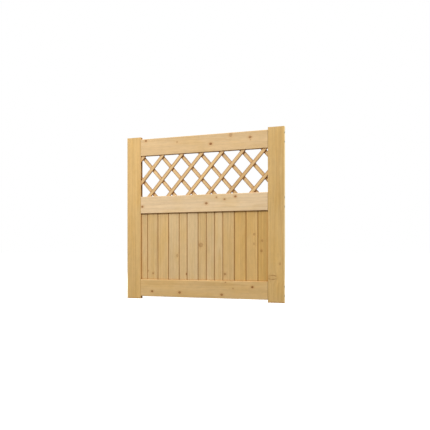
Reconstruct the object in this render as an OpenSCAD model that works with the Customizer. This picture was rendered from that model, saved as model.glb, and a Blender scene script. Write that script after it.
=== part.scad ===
// Framed and boarded garden gate leaf with a diagonal lattice top.
// Origin: bottom centre of the leaf. +X to the right, +Y towards the back, +Z up. Millimetres.

/* [Leaf] */
// Overall width across both stiles
gate_w = 900; // [800:5:1000]
// Overall height, which is the length of the stiles
gate_h = 900; // [880:5:1000]
// Thickness of the stiles and rails
frame_t = 23; // [22:1:30]

/* [Frame] */
// Width of each stile
stile_w = 86; // [76:1:100]
// Height of each of the three rails
rail_h = 94; // [84:1:104]
// Length by which the stiles run past the top rail
top_horn = 12; // [6:1:30]
// Length by which the stiles run past the bottom rail
bottom_horn = 14; // [6:1:30]
// Height of the lattice opening between the top and middle rails
lattice_h = 226; // [200:1:260]
// Radius on the long outer corners of the stiles
outer_arris = 4; // [2:0.5:5]
// Radius on every other long corner of the frame
inner_arris = 3; // [1:0.5:4]
// Length of the stub tenons on the rails
tenon_l = 12; // [8:1:20]

/* [Boards] */
// Thickness of the tongued and grooved boards
board_t = 9; // [8:0.5:10]
// Distance from the front of the frame back to the boards
board_recess = 8; // [6:0.5:9]
// Depth of the V along each board edge
vee = 2.5; // [1:0.25:2.75]
// Gap left between neighbouring boards so that they can swell
board_gap = 1; // [0.2:0.1:1.5]
// Depth of the groove in the frame that holds the boards
board_groove = 8; // [6:1:10]

/* [Lattice] */
// Width of one lattice slat
slat_w = 20; // [16:1:26]
// Thickness of one lattice slat
slat_t = 7; // [5:0.5:8]
// Radius on the long corners of a slat
slat_round = 2.2; // [0.5:0.1:2.4]
// Distance by which the last front slat is set over towards the right stile
end_shift = 10; // [0:1:12]
// Depth of the groove in the frame that holds the lattice
slat_groove = 10; // [8:1:12]

/* [Fixings] */
// Diameter of the body of the rail screws
screw_d = 5; // [4:0.5:5.5]
// Length of the rail screws
screw_l = 90; // [80:5:100]
// Diameter of the sunk holes in the stile edges
sunk_d = 10; // [7.5:0.5:11]
// Depth of the sunk holes in the stile edges
sunk_l = 30; // [20:1:34]
// Distance between the two screws in each rail end
screw_gap = 47; // [40:1:50]

/* [Hidden] */
$fn = 48;
slack = 0.2;
run_out = 1;
front = -frame_t / 2;
half_open = gate_w / 2 - stile_w;
open_w = 2 * half_open;

bottom_rail_z = bottom_horn;
top_rail_z = gate_h - top_horn - rail_h;
mid_rail_z = top_rail_z - lattice_h - rail_h;
panel_z0 = bottom_rail_z + rail_h;
panel_z1 = mid_rail_z;
lattice_z0 = mid_rail_z + rail_h;
lattice_z1 = top_rail_z;

// Boards: the faces share the opening in these proportions, from the left
board_share = [38, 64, 64, 64, 47, 64, 47, 47, 47, 64, 64, 64, 54];
board_count = len(board_share);
function sum_to(v, n) = n <= 0 ? 0 : v[n - 1] + sum_to(v, n - 1);
board_k = open_w / sum_to(board_share, board_count);
function board_x(i) = -half_open + board_k * sum_to(board_share, i - 1);
board_y = front + board_recess;
board_fit = board_groove - 1;
tongue_l = 5;
tongue_t = board_t / 3;

// Lattice: crossings stand on a grid of half_pitch by row_step, every other point used
slats = 8;
half_pitch = open_w * 58 / 728;
row_step = lattice_h * 65.4 / 226;
slope = row_step / half_pitch;
first_cross_x = -half_open + open_w * 68 / 728;
cross_z = lattice_z0 + lattice_h * 152.6 / 226;
slat_lean = atan2(row_step, half_pitch);
slat_fit = slat_groove - 1;
slat_y = -slat_t;
rows = [-2, -1, 0, 1];
brad_d = 1.4;
brad_l = 12;
brad_head_d = 2.4;
brad_head_t = 0.8;

// Screws: height of the lower one of each pair
screw_z = [bottom_rail_z + 22, mid_rail_z + 17, top_rail_z + 28];
screw_head_l = 3.4;
screw_head_d = sunk_d - 0.6;
screw_thread_l = 40;
screw_point_l = 6;
thread_pitch = 2.6;
thread_rings = floor((screw_thread_l - screw_point_l) / thread_pitch);
mortise_l = tenon_l + 0.5;

board_nodes = [for (i = [1 : board_count]) str("board_", i < 10 ? "0" : "", i)];
front_nodes = [for (i = [1 : slats]) str("slat_front_", i)];
back_nodes = [for (i = [1 : slats]) str("slat_back_", i)];
frame_nodes = ["left_stile", "right_stile", "top_rail", "mid_rail", "bottom_rail"];
fixing_nodes = ["rail_screws", "lattice_brads"];

// ---- shared shapes ----

// Waste outside a quarter round of radius r at the origin corner, facing +X and +Y
module corner_waste(r) {
    difference() {
        translate([-run_out, -run_out])
            square(r + run_out);
        translate([r, r])
            circle(r);
    }
}

// Plank section: a across, b deep, with radius ra on the low side and rb on the high side
module plank_section(a, b, ra, rb) {
    difference() {
        square([a, b]);
        corner_waste(ra);
        translate([0, b])
            mirror([0, 1])
                corner_waste(ra);
        translate([a, 0])
            mirror([1, 0])
                corner_waste(rb);
        translate([a, b])
            rotate(180)
                corner_waste(rb);
    }
}

// Runs a section drawn in Y and Z along X
module along_x(l) {
    rotate([90, 0, 90])
        linear_extrude(l)
            children();
}

// ---- frame ----

// Blind holes for one rail screw, from the outer edge of the left stile
module stile_screw_hole() {
    rotate([0, 90, 0]) {
        translate([0, 0, -run_out])
            cylinder(h = sunk_l + run_out, d = sunk_d);
        cylinder(h = stile_w, d = screw_d + 2 * slack);
    }
}

// Slot on the inner edge of the left stile, from z0 to z1
module stile_slot(z0, z1, y0, wide, deep) {
    translate([-half_open - deep, y0, z0])
        cube([deep + run_out, wide, z1 - z0]);
}

// Mortise for the stub tenon of the rail at z
module mortise(z, low, high) {
    stile_slot(z + low, z + rail_h - high, board_y - slack / 2, board_t + slack, mortise_l);
}

module stile() {
    difference() {
        translate([-gate_w / 2, front, 0])
            linear_extrude(gate_h)
                plank_section(stile_w, frame_t, outer_arris, inner_arris);
        stile_slot(panel_z0 - board_groove, panel_z1 + board_groove,
            board_y - slack, board_t + 2 * slack, board_groove);
        stile_slot(lattice_z0 - slat_groove, lattice_z1 + slat_groove,
            slat_y - slack, 2 * (slat_t + slack), slat_groove);
        mortise(bottom_rail_z, 10, board_groove);
        mortise(mid_rail_z, board_groove, slat_groove);
        mortise(top_rail_z, slat_groove, 10);
        for (z = screw_z)
            for (n = [0, 1])
                translate([-gate_w / 2, 0, z + n * screw_gap])
                    stile_screw_hole();
    }
}

module left_stile() {
    color("burlywood")
        stile();
}

module right_stile() {
    color("tan")
        mirror([1, 0, 0])
            stile();
}

// Grooves in the lower and upper edges of a rail, drawn in Y and Z
module board_channel(z) {
    translate([board_y - slack, z])
        square([board_t + 2 * slack, board_groove + run_out]);
}

module slat_channel(z) {
    translate([slat_y - slack, z])
        square([2 * (slat_t + slack), slat_groove + run_out]);
}

// A rail with its grooves as children, stub tenons from low to high, and screw holes from sz up
module rail(z, low, high, sz) {
    difference() {
        union() {
            translate([-half_open, 0, 0])
                along_x(open_w)
                    difference() {
                        translate([front, z])
                            plank_section(frame_t, rail_h, inner_arris, inner_arris);
                        children();
                    }
            translate([-half_open - tenon_l, board_y, z + low])
                cube([open_w + 2 * tenon_l, board_t, rail_h - low - high]);
        }
        for (side = [0, 1])
            mirror([side, 0, 0])
                for (n = [0, 1])
                    translate([-gate_w / 2 + sunk_l, 0, sz + n * screw_gap])
                        rotate([0, 90, 0])
                            cylinder(h = screw_l + 2, d = screw_d + slack);
    }
}

module top_rail() {
    color("wheat")
        rail(top_rail_z, slat_groove, 10, screw_z[2])
            slat_channel(top_rail_z - run_out);
}

module mid_rail() {
    color("wheat")
        rail(mid_rail_z, board_groove, slat_groove, screw_z[1]) {
            board_channel(mid_rail_z - run_out);
            slat_channel(mid_rail_z + rail_h - slat_groove);
        }
}

module bottom_rail() {
    color("wheat")
        rail(bottom_rail_z, 10, board_groove, screw_z[0])
            board_channel(bottom_rail_z + rail_h - board_groove);
}

// ---- boards ----

// Section of board i, drawn in X and Y: groove on the left edge, tongue on the right
module board_section(i) {
    first = i == 1;
    last = i == board_count;
    x0 = board_x(i) + (first ? -board_fit : board_gap / 2);
    x1 = board_x(i + 1) + (last ? board_fit : -board_gap / 2);
    y0 = board_y;
    y1 = board_y + board_t;
    ym = board_y + board_t / 2 + 0.5;
    difference() {
        union() {
            polygon([
                [x0, y0 + (first ? 0 : vee)],
                [x0 + (first ? 0 : vee), y0],
                [x1 - (last ? 0 : vee), y0],
                [x1, y0 + (last ? 0 : vee)],
                [x1, y1],
                [x0, y1]
            ]);
            if (!last)
                translate([x1 - run_out, ym - tongue_t / 2])
                    square([tongue_l + run_out, tongue_t]);
        }
        if (!first)
            translate([x0 - run_out, ym - tongue_t / 2 - slack])
                square([tongue_l + 2 * run_out, tongue_t + 2 * slack]);
    }
}

module board(i) {
    color(i % 2 == 0 ? "peru" : "sandybrown")
        translate([0, 0, panel_z0 - board_fit])
            linear_extrude(panel_z1 - panel_z0 + 2 * board_fit)
                board_section(i);
}

// ---- lattice ----

// Block that the slats are trimmed to
module lattice_block() {
    translate([-half_open - slat_fit, -slat_t - run_out, lattice_z0 - slat_fit])
        cube([open_w + 2 * slat_fit, 2 * (slat_t + run_out), lattice_h + 2 * slat_fit]);
}

// Centre line of slat i at the height of row 0
function slat_x(i) = first_cross_x + 2 * (i - 2) * half_pitch;
function set_over(i) = i == slats ? end_shift : 0;

// Point where front slat i crosses the back slat that it meets in row r
function cross_at(i, r) = [
    slat_x(i) + r * half_pitch + set_over(i) / 2,
    0,
    cross_z + r * row_step - set_over(i) * slope / 2
];
function in_open(point) = abs(point[0]) < half_open - 2;

// Slat i; lean is 1 for the front layer and -1 for the back one
module slat(i, lean) {
    difference() {
        intersection() {
            lattice_block();
            translate([slat_x(i) + (lean > 0 ? set_over(i) : 0), lean > 0 ? -slat_t : 0, cross_z])
                rotate([0, lean * (90 - slat_lean), 0])
                    translate([-slat_w / 2, 0, -gate_h])
                        linear_extrude(2 * gate_h)
                            plank_section(slat_w, slat_t, slat_round, slat_round);
        }
        for (r = rows) {
            point = cross_at(lean > 0 ? i : i - r, r);
            if (in_open(point))
                translate(point)
                    brad_hole();
        }
    }
}

module slat_front(i) {
    color("khaki")
        slat(i, 1);
}

module slat_back(i) {
    color("darkkhaki")
        slat(i, -1);
}

// ---- fixings ----

// Stepped hole for one brad, driven from the back of the lattice
module brad_hole() {
    rotate([90, 0, 0]) {
        translate([0, 0, -slat_t])
            cylinder(h = brad_l + 0.5, d = brad_d + slack);
        translate([0, 0, -slat_t - run_out])
            cylinder(h = brad_head_t + run_out, d = brad_head_d + slack);
    }
}

module brad() {
    rotate([90, 0, 0]) {
        translate([0, 0, -slat_t])
            cylinder(h = brad_head_t, d = brad_head_d);
        translate([0, 0, -slat_t])
            cylinder(h = brad_l - 2, d = brad_d);
        translate([0, 0, brad_l - 2 - slat_t])
            cylinder(h = 2, d1 = brad_d, d2 = 0.3);
    }
}

module lattice_brads() {
    color("silver")
        for (i = [1 : slats])
            for (r = rows)
                if (in_open(cross_at(i, r)))
                    translate(cross_at(i, r))
                        brad();
}

// One rail screw, its head towards -X
module screw() {
    core_d = screw_d * 0.7;
    rotate([0, 90, 0])
        difference() {
            union() {
                cylinder(h = screw_head_l, d = screw_head_d);
                cylinder(h = screw_l - screw_thread_l, d = screw_d * 0.8);
                cylinder(h = screw_l - screw_point_l, d = core_d);
                for (n = [0 : thread_rings - 1])
                    translate([0, 0, screw_l - screw_thread_l + n * thread_pitch])
                        cylinder(h = thread_pitch * 0.6, d1 = core_d, d2 = screw_d);
                translate([0, 0, screw_l - screw_point_l])
                    cylinder(h = screw_point_l, d1 = core_d, d2 = 0.4);
            }
            translate([0, 0, -run_out])
                cylinder(h = 2 + run_out, d = 3.6, $fn = 6);
        }
}

module rail_screws() {
    color("dimgray")
        for (side = [0, 1])
            mirror([side, 0, 0])
                for (z = screw_z)
                    for (n = [0, 1])
                        translate([sunk_l - gate_w / 2 - screw_head_l, 0, z + n * screw_gap])
                            screw();
}

// ---- nodes ----

left_stile();
right_stile();
top_rail();
mid_rail();
bottom_rail();
for (i = [1 : board_count])
    board(i);
for (i = [1 : slats])
    slat_front(i);
for (i = [1 : slats])
    slat_back(i);
rail_screws();
lattice_brads();
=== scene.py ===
"""Garden gate leaf in planed pine: finished timber, floor, light and camera around the CAD frame."""
import math
import random

import bmesh
import bpy
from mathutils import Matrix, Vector, noise


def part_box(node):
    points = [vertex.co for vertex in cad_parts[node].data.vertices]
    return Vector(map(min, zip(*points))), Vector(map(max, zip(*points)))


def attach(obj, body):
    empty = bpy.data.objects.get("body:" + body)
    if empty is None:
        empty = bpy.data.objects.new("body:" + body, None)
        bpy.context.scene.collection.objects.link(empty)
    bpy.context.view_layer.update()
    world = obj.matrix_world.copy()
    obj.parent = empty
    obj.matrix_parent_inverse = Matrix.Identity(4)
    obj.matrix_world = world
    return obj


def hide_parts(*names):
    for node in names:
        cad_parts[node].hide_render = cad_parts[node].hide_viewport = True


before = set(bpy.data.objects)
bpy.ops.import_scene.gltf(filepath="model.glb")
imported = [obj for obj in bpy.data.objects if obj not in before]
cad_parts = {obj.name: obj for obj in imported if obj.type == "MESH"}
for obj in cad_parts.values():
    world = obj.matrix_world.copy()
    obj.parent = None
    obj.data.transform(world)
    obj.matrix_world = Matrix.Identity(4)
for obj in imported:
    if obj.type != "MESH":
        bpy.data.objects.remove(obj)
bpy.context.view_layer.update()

MM = 0.001
UP = Vector((0, 0, 1))
RIGHT = Vector((1, 0, 0))

# The lattice's crossings lie on a grid with this spacing across and up, in millimetres
CROSSINGS_ACROSS, CROSSINGS_UP = 58, 65.4
LATTICE_LEAN = math.atan2(CROSSINGS_UP, CROSSINGS_ACROSS)
# Where the rails' shoulders stand: the inner edges of the stiles
SHOULDERS = (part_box("left_stile")[1].x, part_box("right_stile")[0].x)


# ---- node helpers ----

class Graph:
    """Short calls for building one node tree."""

    def __init__(self, tree):
        self.tree = tree

    def feed(self, socket, value):
        if isinstance(value, bpy.types.NodeSocket):
            self.tree.links.new(value, socket)
        else:
            socket.default_value = value

    def node(self, kind, settings=None, inputs=None):
        made = self.tree.nodes.new(kind)
        for name, value in (settings or {}).items():
            setattr(made, name, value)
        for name, value in (inputs or {}).items():
            self.feed(made.inputs[name], value)
        return made

    def math(self, operation, *values):
        made = self.node("ShaderNodeMath", {"operation": operation})
        for socket, value in zip(made.inputs, values):
            self.feed(socket, value)
        return made.outputs[0]

    def vector(self, operation, *values):
        made = self.node("ShaderNodeVectorMath", {"operation": operation})
        sockets = (made.inputs[0], made.inputs["Scale"]) if operation == "SCALE" else made.inputs
        for socket, value in zip(sockets, values):
            self.feed(socket, value)
        return made.outputs["Value" if operation in ("DOT_PRODUCT", "LENGTH") else "Vector"]

    def scaled(self, vector, x, y, z):
        return self.vector("MULTIPLY", vector, (x, y, z))

    def combined(self, x=0.0, y=0.0, z=0.0):
        return self.node("ShaderNodeCombineXYZ", inputs={"X": x, "Y": y, "Z": z}).outputs[0]

    def noise(self, vector, detail=2.0, roughness=0.5, output="Fac"):
        made = self.node("ShaderNodeTexNoise", inputs={
            "Vector": vector, "Scale": 1.0, "Detail": detail, "Roughness": roughness})
        return made.outputs[output]

    def remap(self, value, from_low, from_high, to_low=0.0, to_high=1.0, smooth=True):
        made = self.node(
            "ShaderNodeMapRange",
            {"interpolation_type": "SMOOTHSTEP" if smooth else "LINEAR"},
            {"Value": value, "From Min": from_low, "From Max": from_high,
             "To Min": to_low, "To Max": to_high})
        return made.outputs["Result"]

    def mix(self, amount, first, second, blend="MIX"):
        made = self.node("ShaderNodeMix", {"data_type": "RGBA", "blend_type": blend})
        self.feed(made.inputs[0], amount)
        self.feed(made.inputs[6], first)
        self.feed(made.inputs[7], second)
        return made.outputs[2]


def new_group(name, inputs, outputs):
    """A shader node group with those sockets, its graph, and its input and output nodes."""
    tree = bpy.data.node_groups.new(name, "ShaderNodeTree")
    for label, kind in inputs.items():
        tree.interface.new_socket(label, in_out="INPUT", socket_type="NodeSocket" + kind)
    for label, kind in outputs.items():
        tree.interface.new_socket(label, in_out="OUTPUT", socket_type="NodeSocket" + kind)
    graph = Graph(tree)
    return graph, graph.node("NodeGroupInput").outputs, graph.node("NodeGroupOutput").inputs


def use_group(graph, group_graph, inputs):
    return graph.node("ShaderNodeGroup", {"node_tree": group_graph.tree}, inputs).outputs


def new_material(name):
    """A material with only its Principled shader, that shader, and its graph."""
    material = bpy.data.materials.new(name)
    material.use_nodes = True
    return material, material.node_tree.nodes["Principled BSDF"], Graph(material.node_tree)


# ---- colours ----

def rgb(red, green, blue):
    """A colour given as it looks on a screen, from 0 to 255, as the linear values that nodes use."""
    values = [c / 255 for c in (red, green, blue)]
    return tuple(c / 12.92 if c <= 0.04045 else ((c + 0.055) / 1.055) ** 2.4 for c in values) + (1.0,)


def between(first, second, share):
    """The colour that share of the way from first to second."""
    return tuple(a + (b - a) * share for a, b in zip(first, second))


KNOT_DARK, KNOT_MID, KNOT_HALO = rgb(116, 72, 34), rgb(172, 118, 62), rgb(200, 148, 86)
KNOT_RING = rgb(150, 92, 36)
# Cream of the stiles' outer sides: partly pale sapwood, partly painted light from the right
SAPWOOD_AND_PAINTED_LIGHT = rgb(252, 224, 162)
# Painted shade for the sides of boards and slats, and for the band along each slat's edges
PAINTED_SIDE_SHADE = rgb(150, 100, 48)
# Painted shade for the rails' undersides and the stiles' inner sides
SHADED_EDGE = rgb(204, 150, 84)
# Painted shade for the inside and rim of the sunk screw holes
PAINTED_HOLE_SHADE = rgb(74, 48, 26)
# What resin does to the colour in the warmer patches
RESIN = (0.97, 0.93, 0.78, 1.0)
# Painted shade in corners, joints and grooves: the colour darkens beside surfaces nearer than this,
# not at all where so much of the sky is open, and fully where so little is
CORNER_SHADE_REACH = 10 * MM
SKY_OPEN, SKY_CLOSED = 0.95, 0.4
# Painted shade round and in a sunk screw hole: none outside the first radius, full at the second
BORE_OUTSIDE, BORE_INSIDE = 5.8 * MM, 5.0 * MM
BORE_AMOUNT = 0.9
SCREW_ROWS_APART = 10 * MM

# How each kind of piece is sawn: the colours of early and late wood, ring spacing, how strongly the
# rings show, how far they wander, how deep the pith lies behind the face, how far an edge has to turn
# from the face to take the edge's colour (mostly painted shade; on the stiles' outer sides sapwood with
# painted light) and how much of it it takes, how much of that painted shade runs on along the face, and
# the colour of the painted shade in corners
FRAME_EDGES = {
    "edge_turn": (0.5, 0.85), "edge_amount": 0.9, "outline": 0.0, "corner_shade": (0.52, 0.34, 0.19, 1.0)}
STILE = {"spacing": 4.2 * MM, "contrast": 0.5, "wander": 0.02, "pith_deep": 0.06} | FRAME_EDGES
# The right stile is toned a little darker than the left: painted shade for light that falls off towards
# the right
STILE_TONES = {
    "left_stile": {"early": rgb(220, 182, 119), "late": rgb(203, 159, 95)},
    "right_stile": {"early": rgb(214, 177, 114), "late": rgb(196, 153, 88)}}
RAIL = {"spacing": 4.5 * MM, "contrast": 0.45, "wander": 0.03, "pith_deep": 0.05} | FRAME_EDGES
RAIL_TONES = {
    "top_rail": {"early": rgb(219, 186, 138), "late": rgb(203, 163, 110)},
    "mid_rail": {"early": rgb(231, 202, 161), "late": rgb(213, 176, 128)},
    "bottom_rail": {"early": rgb(222, 186, 129), "late": rgb(203, 161, 101)}}
BOARD = {
    "spacing": 3.0 * MM, "contrast": 0.5, "wander": 0.012, "pith_deep": 0.04,
    "edge_turn": (0.1, 0.6), "edge_amount": 0.15, "outline": 0.0, "corner_shade": (0.72, 0.48, 0.27, 1.0)}
SLAT = {
    "early": rgb(232, 196, 142), "late": rgb(206, 160, 102), "spacing": 3.0 * MM, "contrast": 0.6,
    "wander": 0.012, "pith_deep": 0.05, "edge_turn": (0.1, 0.6), "edge_amount": 0.9,
    "outline": 0.75, "corner_shade": (1.0, 0.58, 0.24, 1.0)}

# Boards run from pale to gold. How golden each one is, from the left
BOARD_PALE = {"early": rgb(222, 192, 144), "late": rgb(200, 162, 108)}
BOARD_GOLD = {"early": rgb(214, 172, 100), "late": rgb(192, 144, 76)}
BOARD_GOLDNESS = (0.3, 0.35, 0.45, 0.1, 0.25, 0.0, 0.3, 0.1, 0.2, 0.45, 0.85, 0.75, 1.0)

# A knot is longer along the grain than across it, before its own stretch
KNOT_TALL = 1.25
# How far a knot's halo tints the wood round it, and how far its disc stands in the bump
HALO_AMOUNT, DISC_BUMP = 0.45, 0.6
# Knots: x, z and radius in millimetres, how dark the knot and its rim are, and how far it is
# stretched across the grain
KNOTS = {
    "top_rail": (
        (-332, 878, 4.5, 0.9, 0.7, 1), (52, 836, 6, 1.0, 0.7, 1), (164, 875, 7, 0.4, 0.4, 1.3),
        (270, 856, 6, 0.7, 0.6, 1), (-143, 859, 3.5, 0.4, 0.4, 1), (272, 842, 3, 0.4, 0.4, 1)),
    "mid_rail": (
        (-355, 512, 5, 0.9, 0.7, 1), (27, 520, 6, 0.8, 0.6, 1), (85, 550, 4, 0.6, 0.5, 1),
        (130, 538, 4, 0.7, 0.6, 1), (190, 551, 5, 0.9, 0.7, 1)),
    "bottom_rail": (
        (-294, 42, 5, 0.9, 0.7, 1), (-128, 40, 6, 0.8, 0.6, 1), (114, 34, 5.5, 0.8, 0.6, 1),
        (282, 78, 5, 1.0, 0.7, 1), (177, 68, 3, 0.5, 0.5, 1), (135, 100, 3, 0.6, 0.5, 1)),
    "right_stile": ((388, 130, 9, 0.1, 0.85, 2.7), (428, 200, 5, 0.3, 0.4, 1)),
    "board_02": ((-292, 142, 4, 0.6, 0.5, 1), (-322, 155, 3, 0.5, 0.5, 1)),
    "board_04": ((-145, 240, 6, 0.3, 0.4, 1),),
    "board_05": ((-91, 140, 4, 0.8, 0.6, 0.8),),
    "board_07": ((-7, 298, 9, 0.4, 0.3, 1.4),),
    "board_10": ((130, 143, 5, 0.6, 0.5, 1.2),),
    "board_12": ((290, 352, 5, 0.4, 0.5, 1), (290, 302, 5, 0.3, 0.4, 1)),
    "board_13": ((333, 318, 5, 0.4, 0.5, 1), (329, 266, 5, 0.5, 0.5, 1)),
}


# ---- wood material ----

# Noise frequencies per metre: across the piece, through it and along its grain
SLOW_BEND, QUICK_BEND = (5.0, 5.0, 1.3), (55.0, 55.0, 5.0)
FIBRE, STREAK, PORE = (1100.0, 1100.0, 14.0), (130.0, 130.0, 2.2), (1700.0, 1700.0, 45.0)
BROAD, MOTTLE, WARM = (9.0, 9.0, 2.0), (75.0, 75.0, 28.0), (17.0, 17.0, 6.0)
KNOT_WOBBLE, RIM_BREAK, OUTLINE_BREAK = (260, 260, 260), (60, 60, 60), (90, 90, 12)
# How much the rings taper along the grain
TAPER = 0.012
QUICK_WANDER = 2.2 * MM
# How far a knot pushes the rings aside, and how quickly that fades with the distance from it
BEND_AMOUNT, BEND_FADE = 0.85, 0.16
# A knot's dark rim, in radii of the knot, and how far the wave of its own rings runs in one radius
RIM_AT, RIM_WIDTH = 0.95, 0.18
KNOT_RINGING = 17.0
# The painted shade band along the edge of a slat fades between these distances from the edge
OUTLINE_NEAR, OUTLINE_FAR = 2.0 * MM, 6.5 * MM


def knot_group():
    """One knot: how it bends the grain round itself, its own disc, its halo and its rings."""
    g, given, out = new_group(
        "knot", {"Local": "Vector", "Place": "Vector", "Size": "Float", "Stretch": "Float"},
        {"Bend": "Float", "Disc": "Float", "Rim": "Float", "Halo": "Float", "Rings": "Float"})
    wobble = g.noise(g.scaled(given["Local"], *KNOT_WOBBLE), 2.0)
    away = g.vector("SUBTRACT", given["Local"], given["Place"])
    shape = g.combined(g.math("DIVIDE", 1.0, given["Stretch"]), 0.0, 1 / KNOT_TALL)
    offset = g.vector("MULTIPLY", away, shape)
    reach = g.math("DIVIDE", g.vector("LENGTH", offset), given["Size"])
    reach = g.math("MULTIPLY", reach, g.remap(wobble, 0.2, 0.8, 0.82, 1.18, False))
    spread = g.math("EXPONENT", g.math("MULTIPLY", g.math("POWER", reach, 2.0), -BEND_FADE))
    across = g.node("ShaderNodeSeparateXYZ", inputs={"Vector": away}).outputs["X"]
    g.feed(out["Bend"], g.math("MULTIPLY", across, spread))
    g.feed(out["Disc"], g.remap(reach, 1.1, 0.85))
    from_rim = g.math("DIVIDE", g.math("SUBTRACT", reach, RIM_AT), RIM_WIDTH)
    height = g.node("ShaderNodeSeparateXYZ", inputs={"Vector": offset}).outputs["Z"]
    flank = g.math("DIVIDE", g.math("ABSOLUTE", height), g.vector("LENGTH", offset))
    ends = g.math("MULTIPLY", g.remap(given["Stretch"], 1.2, 2.2), g.remap(flank, 0.75, 0.35))
    rim = g.math("EXPONENT", g.math("MULTIPLY", g.math("POWER", from_rim, 2.0), -1.0))
    g.feed(out["Rim"], g.math("MULTIPLY", rim, g.math("SUBTRACT", 1.0, ends)))
    g.feed(out["Halo"], g.remap(reach, 3.2, 0.9))
    wave = g.math("SINE", g.math("MULTIPLY", reach, KNOT_RINGING))
    g.feed(out["Rings"], g.math("MULTIPLY_ADD", wave, 0.5, 0.5))
    return g


def pine_group():
    """Planed pine as a solid: growth rings round a pith line, fibres and streaks along the grain."""
    g, given, out = new_group(
        "pine",
        {"Local": "Vector", "Shift": "Vector", "Bend": "Float", "Pith": "Vector", "Spacing": "Float",
         "Wander": "Float", "Contrast": "Float", "End": "Float", "Early": "Color", "Late": "Color"},
        {"Color": "Color", "Height": "Float", "Roughness": "Float"})
    place = g.vector("ADD", given["Local"], given["Shift"])
    half = (0.5, 0.5, 0.5)
    slow = g.vector("SUBTRACT", g.noise(g.scaled(place, *SLOW_BEND), 2.0, output="Color"), half)
    quick = g.vector("SUBTRACT", g.noise(g.scaled(place, *QUICK_BEND), 2.0, output="Color"), half)
    path = g.vector("ADD", given["Local"], g.combined(g.math("MULTIPLY", given["Bend"], -BEND_AMOUNT)))
    path = g.vector("ADD", path, g.scaled(g.vector("SCALE", slow, given["Wander"]), 1.0, 0.7, 0.0))
    path = g.vector("ADD", path, g.scaled(quick, QUICK_WANDER, QUICK_WANDER, 0.0))
    path = g.scaled(g.vector("SUBTRACT", path, given["Pith"]), 1.0, 1.0, TAPER)
    rings = g.math("DIVIDE", g.vector("LENGTH", path), given["Spacing"])
    part = g.math("FRACT", rings)
    late = g.math("MULTIPLY", g.remap(part, 0.30, 0.93), g.remap(part, 1.0, 0.95))
    uneven = g.noise(g.combined(g.math("MULTIPLY", rings, 0.7)), 1.0)
    late = g.math("MULTIPLY", late, g.remap(uneven, 0.3, 0.7, 0.35, 1.0))

    fibre = g.noise(g.scaled(place, *FIBRE), 2.0, 0.6)
    streak = g.noise(g.scaled(place, *STREAK), 3.0, 0.6)
    broad = g.noise(g.scaled(place, *BROAD), 2.0)
    mottle = g.noise(g.scaled(place, *MOTTLE), 3.0, 0.6)
    elsewhere = g.vector("ADD", place, (3.0, 5.0, 7.0))
    warm = g.noise(g.scaled(elsewhere, *WARM), 2.0)
    pores = g.remap(g.noise(g.scaled(place, *PORE), 0.0), 0.70, 0.78)

    colour = g.mix(g.math("MULTIPLY", late, given["Contrast"]), given["Early"], given["Late"])
    colour = g.mix(g.remap(warm, 0.42, 0.68, 0.0, 0.6), colour, g.mix(1.0, colour, RESIN, "MULTIPLY"))
    shade = 1.0
    patterns = (streak, 0.95, 1.045), (fibre, 0.96, 1.035), (broad, 0.95, 1.04), (mottle, 0.965, 1.03)
    for pattern, dark, pale in patterns:
        shade = g.math("MULTIPLY", shade, g.remap(pattern, 0.3, 0.7, dark, pale))
    shade = g.math("MULTIPLY", shade, g.remap(pores, 0.0, 1.0, 1.0, 0.88))
    shade = g.math("MULTIPLY", shade, g.remap(given["End"], 0.5, 1.0, 1.0, 0.80))
    shades = g.node("ShaderNodeCombineColor", inputs={"Red": shade, "Green": shade, "Blue": shade})
    g.feed(out["Color"], g.mix(1.0, colour, shades.outputs[0], "MULTIPLY"))
    height = g.math("MULTIPLY_ADD", fibre, 0.5, g.math("MULTIPLY", late, 0.35))
    g.feed(out["Height"], g.math("SUBTRACT", height, g.math("MULTIPLY", pores, 0.3)))
    dense = g.math("ADD", fibre, g.math("MULTIPLY", late, -0.3))
    g.feed(out["Roughness"], g.remap(dense, 0.1, 0.8, 0.50, 0.66, False))
    return g


KNOT = knot_group()
PINE = pine_group()


def add_knots(g, local, knots):
    """The bend, disc, rim, halo and rings of all the knots of one piece together."""
    bend = disc = rim = halo = rings = 0.0
    for at, radius, strength, rim_strength, stretch in knots:
        knot = use_group(g, KNOT, {"Local": local, "Place": at, "Size": radius, "Stretch": stretch})
        bend = g.math("ADD", bend, knot["Bend"])
        disc = g.math("MAXIMUM", disc, g.math("MULTIPLY", knot["Disc"], strength))
        rim = g.math("MAXIMUM", rim, g.math("MULTIPLY", knot["Rim"], rim_strength))
        halo = g.math("MAXIMUM", halo, g.math("MULTIPLY", knot["Halo"], strength))
        rings = g.math("MULTIPLY_ADD", knot["Rings"], knot["Disc"], rings)
    return bend, disc, rim, halo, rings


def edge_colour(g, timber, look, coordinates, local, colour):
    """The wood's colour with its edges toned where they turn from the face, and a little way in:
    painted shade, and sapwood with painted light on the stiles' outer sides.
    """
    for side, tone in timber.edge_tones:
        turned = g.remap(g.vector("DOT_PRODUCT", coordinates["Normal"], side), *look["edge_turn"])
        colour = g.mix(g.math("MULTIPLY", turned, look["edge_amount"]), colour, tone)
    if not look["outline"]:
        return colour
    x = g.node("ShaderNodeSeparateXYZ", inputs={"Vector": local}).outputs["X"]
    low_edge, high_edge = timber.edges
    inward = g.math("MINIMUM", g.math("SUBTRACT", x, low_edge), g.math("SUBTRACT", high_edge, x))
    rough = g.noise(g.scaled(g.vector("ADD", local, timber.shift), *OUTLINE_BREAK))
    outline = g.remap(inward, OUTLINE_FAR, OUTLINE_NEAR, 0.0, look["outline"])
    return g.mix(g.math("MULTIPLY", outline, g.remap(rough, 0.3, 0.7, 0.5, 1.0)), colour, PAINTED_SIDE_SHADE)


def screw_heights():
    """The height of each row of rail screws, low to high."""
    levels = sorted(vert.co.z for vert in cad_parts["rail_screws"].data.vertices)
    rows = [[levels[0]]]
    for level in levels:
        if level - rows[-1][-1] > SCREW_ROWS_APART:
            rows.append([])
        rows[-1].append(level)
    return [(row[0] + row[-1]) / 2 for row in rows]


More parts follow.
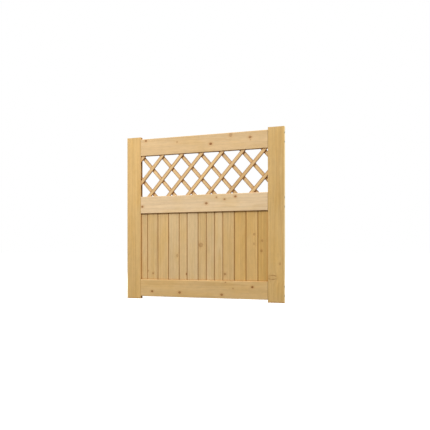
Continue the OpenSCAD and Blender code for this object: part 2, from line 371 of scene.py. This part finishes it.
def hole_shade_colour(g, timber, local, colour):
    """The wood's colour with painted shade round and in the sunk screw holes in the stile's edge."""
    nearest = max(timber.high - timber.low)
    for height in screw_heights():
        from_axis = g.vector("SUBTRACT", local, timber.local(Vector((0, timber.centre.y, height))))
        nearest = g.math("MINIMUM", nearest, g.vector("LENGTH", g.scaled(from_axis, 0.0, 1.0, 1.0)))
    return g.mix(g.remap(nearest, BORE_OUTSIDE, BORE_INSIDE, 0.0, BORE_AMOUNT), colour, PAINTED_HOLE_SHADE)


def wood(timber, look):
    """A pine material for one piece, with its own rings, knots and edges, and painted shade in its
    corners.
    """
    material, shader, g = new_material(timber.node + "_pine")
    coordinates = g.node("ShaderNodeTexCoord").outputs
    axes = (timber.across, timber.outward, timber.grain)
    from_centre = g.vector("SUBTRACT", coordinates["Object"], timber.centre)
    local = g.combined(*[g.vector("DOT_PRODUCT", from_centre, axis) for axis in axes])
    end = g.math("ABSOLUTE", g.vector("DOT_PRODUCT", coordinates["Normal"], timber.grain))

    bend, disc, rim, halo, rings = add_knots(g, local, timber.knots)
    pine = use_group(g, PINE, {
        "Local": local, "Shift": timber.shift, "Bend": bend, "Pith": timber.pith(look["pith_deep"]),
        "Spacing": look["spacing"], "Wander": look["wander"], "Contrast": look["contrast"], "End": end,
        "Early": look["early"], "Late": look["late"]})
    colour, height = edge_colour(g, timber, look, coordinates, local, pine["Color"]), pine["Height"]
    if timber.knots:
        colour = g.mix(g.math("MULTIPLY", halo, HALO_AMOUNT), colour, KNOT_HALO)
        colour = g.mix(disc, colour, g.mix(rings, KNOT_DARK, KNOT_MID))
        broken = g.remap(g.noise(g.scaled(local, *RIM_BREAK), 1.0), 0.35, 0.6, 0.4, 0.9)
        colour = g.mix(g.math("MULTIPLY", rim, broken), colour, KNOT_RING)
        height = g.math("MULTIPLY_ADD", disc, DISC_BUMP, height)
    # Painted shade: darker where nearby surfaces close off the sky, in corners, joints and grooves
    sky = g.node("ShaderNodeAmbientOcclusion", {"samples": 8}, {"Distance": CORNER_SHADE_REACH}).outputs["AO"]
    corner_shaded = g.mix(1.0, colour, look["corner_shade"], "MULTIPLY")
    colour = g.mix(g.remap(sky, SKY_OPEN, SKY_CLOSED), colour, corner_shaded)
    if timber.node in STILE_TONES:
        colour = hole_shade_colour(g, timber, local, colour)
    g.feed(shader.inputs["Base Color"], colour)
    g.feed(shader.inputs["Roughness"], pine["Roughness"])
    shader.inputs["Specular IOR Level"].default_value = 0.35
    bump = g.node("ShaderNodeBump", inputs={"Strength": 0.5, "Distance": 0.25 * MM, "Height": height})
    g.feed(shader.inputs["Normal"], bump.outputs["Normal"])
    return material


# ---- timber ----

# Where a piece was cut from the log is drawn at random: its shift in the noise, how far the pith
# lies to the side in metres, and at what share of the depth that its kind has
FIRST_SEED = 100
LOG_SHIFTS = (0, 9)
PITH_SIDEWAYS = (-0.03, 0.03)
PITH_SHARES = (0.8, 1.4)


class Timber:
    """One wooden piece of the leaf: its CAD node, its own axes, its knots and its place in the log."""

    def __init__(self, node, grain, across, number, edge_tones=()):
        low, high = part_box(node)
        draw = random.Random(FIRST_SEED + number)
        self.node = node
        self.low, self.high = low, high
        self.centre = (low + high) / 2
        self.grain, self.across, self.outward = grain, across, across.cross(grain)
        self.edge_tones = edge_tones
        self.shift = Vector([draw.uniform(*LOG_SHIFTS) for _ in range(3)])
        self.pith_across = draw.uniform(*PITH_SIDEWAYS)
        self.pith_share = draw.uniform(*PITH_SHARES)
        reaches = [(vert.co - self.centre).dot(across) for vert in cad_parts[node].data.vertices]
        self.edges = min(reaches), max(reaches)
        self.knots = [
            (self.local(Vector((x * MM, self.centre.y, z * MM))), radius * MM, strength, rim, stretch)
            for x, z, radius, strength, rim, stretch in KNOTS.get(node, ())]

    def local(self, place):
        """A place in the piece's own axes: across, through and along the grain, from its centre."""
        away = place - self.centre
        return Vector((away.dot(self.across), away.dot(self.outward), away.dot(self.grain)))

    def pith(self, deep):
        return Vector((self.pith_across, -deep * self.pith_share, 0.0))


# Mesh of the finished surface: the width of its cells, and round a knot, how many cells there are
# from its middle out to so many radii
CELL = 9 * MM
KNOT_CELLS = 5
KNOT_SLICED_TO = 1.5
# Edges sharper than the first angle are eased, and shading breaks at edges sharper than the second
EASED_ANGLE, SHARP_ANGLE = math.radians(30), math.radians(32)
EASE = 0.5 * MM
ON_A_PLANE = 0.05 * MM
# Vertices this close are made one, and slices snap to vertices this close
MERGE, SNAP = 0.001 * MM, 0.01 * MM
# Faces that turn less than this from each other are one, and a normal this close to the outward
# direction belongs to a face of the leaf
FLAT_ANGLE = math.radians(0.5)
FACING = 0.9
# Relief of the finished surface: height, noise frequency per metre, and where in the noise dents begin
PLANING, PLANED_ACROSS, PLANED_ALONG = 0.12 * MM, 40, 12
ARRIS_DENT, DENTS, DENTS_FROM = 0.9 * MM, 55, 0.1
# A knot stands proud as a dome, inside a groove at this many radii
KNOT_DOME = 0.3 * MM
KNOT_GROOVE, GROOVE_AT, GROOVE_WIDTH = 0.35 * MM, 1.05, 0.14


def ease_edges(shape, timber):
    """Eases the sharp edges that lie in the faces of the piece's box and at the rails' shoulders."""
    planes = [(axis, limit[axis]) for axis in range(3) for limit in (timber.low, timber.high)]
    planes += [(0, place) for place in SHOULDERS]

    def lies_in(edge, axis, place):
        return all(abs(vert.co[axis] - place) < ON_A_PLANE for vert in edge.verts)

    sharp = [
        edge for edge in shape.edges
        if edge.calc_face_angle(0) > EASED_ANGLE and any(lies_in(edge, *plane) for plane in planes)]
    bmesh.ops.bevel(
        shape, geom=sharp, offset=EASE, segments=2, profile=0.5, affect="EDGES", clamp_overlap=True)


def slices(low, high, knots):
    """Where to slice between low and high: evenly, and closely across each knot."""
    count = max(1, round((high - low) / CELL))
    even = [low + (high - low) * n / count for n in range(1, count)]
    close = [
        middle + KNOT_SLICED_TO * radius * n / KNOT_CELLS
        for middle, radius in knots for n in range(-KNOT_CELLS, KNOT_CELLS + 1)]
    return sorted(place for place in even + close if low < place < high)


def slice_shape(shape, timber):
    """Cuts the faces into small cells along and across the grain."""
    cuts = (
        (timber.across, [(at.x, radius * stretch) for at, radius, _, _, stretch in timber.knots]),
        (timber.grain, [(at.z, radius * KNOT_TALL) for at, radius, _, _, _ in timber.knots]))
    for axis, knots in cuts:
        reaches = [(v.co - timber.centre).dot(axis) for v in shape.verts]
        for place in slices(min(reaches), max(reaches), knots):
            bmesh.ops.bisect_plane(
                shape, geom=shape.verts[:] + shape.edges[:] + shape.faces[:], dist=SNAP,
                plane_co=timber.centre + axis * place, plane_no=axis)


def rise(timber, place, normal):
    """How far the finished surface stands proud of the CAD solid, in metres, at a place on it."""
    local = timber.local(place)
    wavy = Vector((local.x * PLANED_ACROSS, local.y * PLANED_ACROSS, local.z * PLANED_ALONG))
    height = PLANING * noise.noise(wavy + timber.shift)
    facing = abs(normal.dot(timber.outward))
    if facing > FACING:
        for at, radius, strength, _, stretch in timber.knots:
            reach = math.hypot((local.x - at.x) / stretch, (local.z - at.z) / KNOT_TALL) / radius
            height += strength * KNOT_DOME * max(0.0, 1 - reach * reach)
            height -= strength * KNOT_GROOVE * math.exp(-((reach - GROOVE_AT) / GROOVE_WIDTH) ** 2)
    rounded = 1 - max(facing, abs(normal.dot(timber.across)), abs(normal.dot(timber.grain)))
    dent = max(0.0, noise.noise(local * DENTS + timber.shift) - DENTS_FROM)
    return height - ARRIS_DENT * rounded * dent


def finished(timber):
    """The piece that stands for a CAD node: its solid with eased edges, knots and a planed surface."""
    shape = bmesh.new()
    shape.from_mesh(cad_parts[timber.node].data)
    bmesh.ops.remove_doubles(shape, verts=shape.verts, dist=MERGE)
    bmesh.ops.dissolve_limit(shape, angle_limit=FLAT_ANGLE, verts=shape.verts, edges=shape.edges)
    ease_edges(shape, timber)
    slice_shape(shape, timber)
    shape.normal_update()
    moves = [(vert, vert.normal * rise(timber, vert.co, vert.normal)) for vert in shape.verts]
    for vert, move in moves:
        vert.co += move
    mesh = bpy.data.meshes.new(timber.node + "_timber")
    shape.to_mesh(mesh)
    shape.free()
    mesh.shade_smooth()
    mesh.set_sharp_from_angle(angle=SHARP_ANGLE)
    piece = bpy.data.objects.new(timber.node + "_timber", mesh)
    bpy.context.scene.collection.objects.link(piece)
    piece.modifiers.new("flat faces stay flat", "WEIGHTED_NORMAL").keep_sharp = True
    return piece


def make(timber, look):
    piece = finished(timber)
    piece.data.materials.append(wood(timber, look))
    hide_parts(timber.node)
    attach(piece, "root")


# The number of a piece seeds its random draws: boards from 11, back slats from 21, front slats from 41
for number, node, outer in ((1, "left_stile", -RIGHT), (2, "right_stile", RIGHT)):
    # Outer side: partly sapwood, partly painted light; inner side: painted shade
    tones = [(outer, SAPWOOD_AND_PAINTED_LIGHT), (-outer, SHADED_EDGE)]
    make(Timber(node, UP, RIGHT, number, tones), STILE | STILE_TONES[node])
for number, node in enumerate(("top_rail", "mid_rail", "bottom_rail"), 3):
    # Rail undersides take painted shade
    make(Timber(node, RIGHT, UP, number, [(-UP, SHADED_EDGE)]), RAIL | RAIL_TONES[node])
for number, gold in enumerate(BOARD_GOLDNESS, 1):
    tones = {tone: between(BOARD_PALE[tone], BOARD_GOLD[tone], gold) for tone in ("early", "late")}
    # Board sides take painted shade, which darkens the V-joints
    edges = [(RIGHT, PAINTED_SIDE_SHADE), (-RIGHT, PAINTED_SIDE_SHADE)]
    make(Timber(f"board_{number:02d}", UP, RIGHT, 10 + number, edges), BOARD | tones)
for lean, layer in ((1, "slat_front_"), (-1, "slat_back_")):
    grain = Vector((math.cos(LATTICE_LEAN) * lean, 0, math.sin(LATTICE_LEAN)))
    across = Vector((-grain.z, 0, grain.x))
    # Slat sides take painted shade, and a painted shade band runs along each slat's edges
    edges = [(across, PAINTED_SIDE_SHADE), (-across, PAINTED_SIDE_SHADE)]
    for number in range(1, 9):
        node = layer + str(number)
        make(Timber(node, grain, across, 30 + number + 10 * lean, edges), SLAT)


# ---- metal ----

DULL_SPOTS = rgb(88, 76, 60)
SPOT_NOISE = (900, 900, 900)
ZINC = {"rail_screws": rgb(150, 142, 122), "lattice_brads": rgb(190, 190, 192)}
ZINC_ROUGHNESS = (0.35, 0.60)


def metal(name, colour):
    """Zinc with fine dull spots."""
    material, shader, g = new_material(name)
    place = g.node("ShaderNodeTexCoord").outputs["Object"]
    spots = g.noise(g.scaled(place, *SPOT_NOISE), 3.0, 0.6)
    g.feed(shader.inputs["Base Color"], g.mix(g.remap(spots, 0.35, 0.7), colour, DULL_SPOTS))
    g.feed(shader.inputs["Roughness"], g.remap(spots, 0.2, 0.8, *ZINC_ROUGHNESS, False))
    shader.inputs["Metallic"].default_value = 1.0
    return material


for node, colour in ZINC.items():
    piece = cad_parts[node]
    piece.data.materials.clear()
    piece.data.materials.append(metal(node + "_zinc", colour))


# ---- studio ----

WHITE = (1.0, 1.0, 1.0)
WARM_WHITE = (1.0, 0.985, 0.96)
FLOOR_SHADOWED, FLOOR_LIT = (0.9, 0.9, 0.9, 1.0), (0.22, 0.22, 0.21, 1.0)
FLOOR_GLOW = 0.45
FLOOR_HALF = 60.0
# Strength of the world's light from below and from above, and between which directions it changes,
# given as their upward part
WORLD_LOW, WORLD_HIGH = 0.34, 0.72
WORLD_DIM_AT, WORLD_BRIGHT_AT = -0.3, 0.9
# Lights: name, place, diameter, watts and colour. All of them point at one place
LIGHTS_AIM = (0.0, 0.0, 0.6)
LIGHTS = (
    ("key", (-1.0, -2.15, 2.74), 1.0, 74.0, WARM_WHITE),
    ("edge", (2.8, -0.5, 2.6), 1.2, 62.0, WHITE),
    ("back", (-0.9, 2.7, 2.3), 1.6, 48.0, WARM_WHITE))


def camera_only(graph, seen, lit):
    """A shader that the camera sees as seen, and that lights the object as lit."""
    camera_ray = graph.node("ShaderNodeLightPath").outputs["Is Camera Ray"]
    mixed = graph.node("ShaderNodeMixShader")
    graph.feed(mixed.inputs[0], camera_ray)
    graph.feed(mixed.inputs[1], lit)
    graph.feed(mixed.inputs[2], seen)
    return mixed.outputs[0]


def studio_floor():
    """A plain floor: white to the camera, with a soft contact shadow, and a weak reflector of light."""
    corners = [(x * FLOOR_HALF, y * FLOOR_HALF, 0) for x, y in ((-1, -1), (1, -1), (1, 1), (-1, 1))]
    mesh = bpy.data.meshes.new("studio_floor")
    mesh.from_pydata(corners, [], [(0, 1, 2, 3)])
    floor = bpy.data.objects.new("studio_floor", mesh)
    bpy.context.scene.collection.objects.link(floor)
    material = bpy.data.materials.new("studio_white")
    material.use_nodes = True
    material.node_tree.nodes.clear()
    g = Graph(material.node_tree)
    shadowed = g.node("ShaderNodeBsdfDiffuse", inputs={"Color": FLOOR_SHADOWED}).outputs[0]
    glow = g.node("ShaderNodeEmission", inputs={"Strength": FLOOR_GLOW}).outputs[0]
    seen = g.node("ShaderNodeAddShader")
    g.feed(seen.inputs[0], shadowed)
    g.feed(seen.inputs[1], glow)
    lit = g.node("ShaderNodeBsdfDiffuse", inputs={"Color": FLOOR_LIT}).outputs[0]
    output = g.node("ShaderNodeOutputMaterial")
    g.feed(output.inputs["Surface"], camera_only(g, seen.outputs[0], lit))
    mesh.materials.append(material)


def soft_light(name, place, size, watts, colour):
    lamp = bpy.data.lights.new(name, "AREA")
    lamp.shape = "DISK"
    lamp.size = size
    lamp.energy = watts
    lamp.color = colour
    holder = bpy.data.objects.new(name, lamp)
    holder.location = place
    holder.rotation_euler = (Vector(LIGHTS_AIM) - Vector(place)).to_track_quat("-Z", "Y").to_euler()
    bpy.context.scene.collection.objects.link(holder)


def studio_world():
    """White to the camera. As light it is bright overhead and dim below, as under a large softbox."""
    world = bpy.data.worlds.new("studio")
    world.use_nodes = True
    world.node_tree.nodes.clear()
    g = Graph(world.node_tree)
    direction = g.node("ShaderNodeTexCoord").outputs["Generated"]
    upward = g.node("ShaderNodeSeparateXYZ", inputs={"Vector": direction}).outputs["Z"]
    white = WHITE + (1.0,)
    strength = g.remap(upward, WORLD_DIM_AT, WORLD_BRIGHT_AT, WORLD_LOW, WORLD_HIGH)
    lit = g.node("ShaderNodeBackground", inputs={"Color": white, "Strength": strength}).outputs[0]
    seen = g.node("ShaderNodeBackground", inputs={"Color": white}).outputs[0]
    output = g.node("ShaderNodeOutputWorld")
    g.feed(output.inputs["Surface"], camera_only(g, seen, lit))
    bpy.context.scene.world = world


# The view of the photograph, solved from the four corners of the leaf's face
CAMERA_PLACE = (1.0525, -2.710, 0.2622)
CAMERA_TURN = math.radians(19.88)
SENSOR, LENS, SHIFT_UP = 36.0, 45.26, 0.085


def photo_camera():
    """Level camera to the right of the leaf, turned left to face it, with a small upward shift."""
    data = bpy.data.cameras.new("camera")
    data.sensor_width = SENSOR
    data.lens = LENS
    data.shift_y = SHIFT_UP
    data.clip_start = 0.05
    data.clip_end = 100.0
    camera = bpy.data.objects.new("camera", data)
    camera.location = CAMERA_PLACE
    camera.rotation_euler = (math.pi / 2, 0.0, CAMERA_TURN)
    bpy.context.scene.collection.objects.link(camera)
    bpy.context.scene.camera = camera


studio_floor()
studio_world()
for light in LIGHTS:
    soft_light(*light)
photo_camera()
bpy.context.scene.view_settings.view_transform = "Standard"
